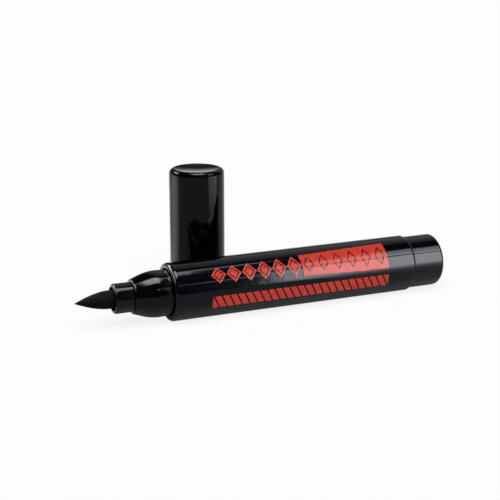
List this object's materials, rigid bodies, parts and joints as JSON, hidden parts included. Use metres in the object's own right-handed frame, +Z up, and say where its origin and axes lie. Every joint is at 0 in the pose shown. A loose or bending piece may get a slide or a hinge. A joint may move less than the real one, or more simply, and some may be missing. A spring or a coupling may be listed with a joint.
{
  "type": "liquid eyeliner pen",
  "caption": "Thick felt-tip liquid eyeliner pen lying on its side, with its round cap taken off and standing behind it on its open rim.",
  "frame": {"origin": "on the surface that the pen and its cap stand on, under the middle of the box round both", "axes": "+X along the pen from its nib to its tail, +Y from the pen to the cap behind it, +Z up along the cap's axis"},
  "size_m": [0.1018, 0.0404, 0.0332],
  "materials": {
    "nib_felt": "dense black felt soaked with ink",
    "holder_plastic": "black moulded plastic, satin gloss",
    "nose_plastic": "black moulded plastic, glossy",
    "barrel_plastic": "black glossy plastic with a printed red pattern",
    "tail_plastic": "black moulded plastic, glossy",
    "cap_plastic": "black moulded plastic, glossy",
    "inner_cap_plastic": "soft milky plastic",
    "spring_steel": "bright drawn wire",
    "feed_plastic": "natural white plastic",
    "wick_fibre": "black bonded fibre",
    "seal_rubber": "black rubber",
    "tank_plastic": "milky plastic",
    "ball_steel": "polished steel"
  },
  "bodies": {
    "pen": {"nib": "nib_felt", "nib_holder": "holder_plastic", "nose_cone": "nose_plastic", "collector": "feed_plastic", "wick": "wick_fibre", "tank_stopper": "feed_plastic", "tank_seal": "seal_rubber", "ink_tank": "tank_plastic", "barrel": "barrel_plastic", "tail_plug": "tail_plastic"},
    "mixing_ball": {"mixing_ball": "ball_steel"},
    "cap": {"cap_shell": "cap_plastic", "inner_cap_retainer": "inner_cap_plastic", "inner_cap_spring": "spring_steel"},
    "inner_cap": {"inner_cap": "inner_cap_plastic"}
  },
  "joints": [
    {"name": "cap_lift", "type": "slide", "parent": "pen", "child": "cap", "axis": [0, 0, 1], "range_m": [0, 0.03]},
    {"name": "inner_cap_slide", "type": "slide", "parent": "cap", "child": "inner_cap", "axis": [0, 0, 1], "range_m": [0, 0.0012], "stiffness_N_per_m": 300, "springref_m": -0.002, "deforming": ["inner_cap_spring"]},
    {"name": "ball_travel", "type": "slide", "parent": "pen", "child": "mixing_ball", "axis": [1, 0, 0], "range_m": [-0.01717, 0.01717]}
  ]
}
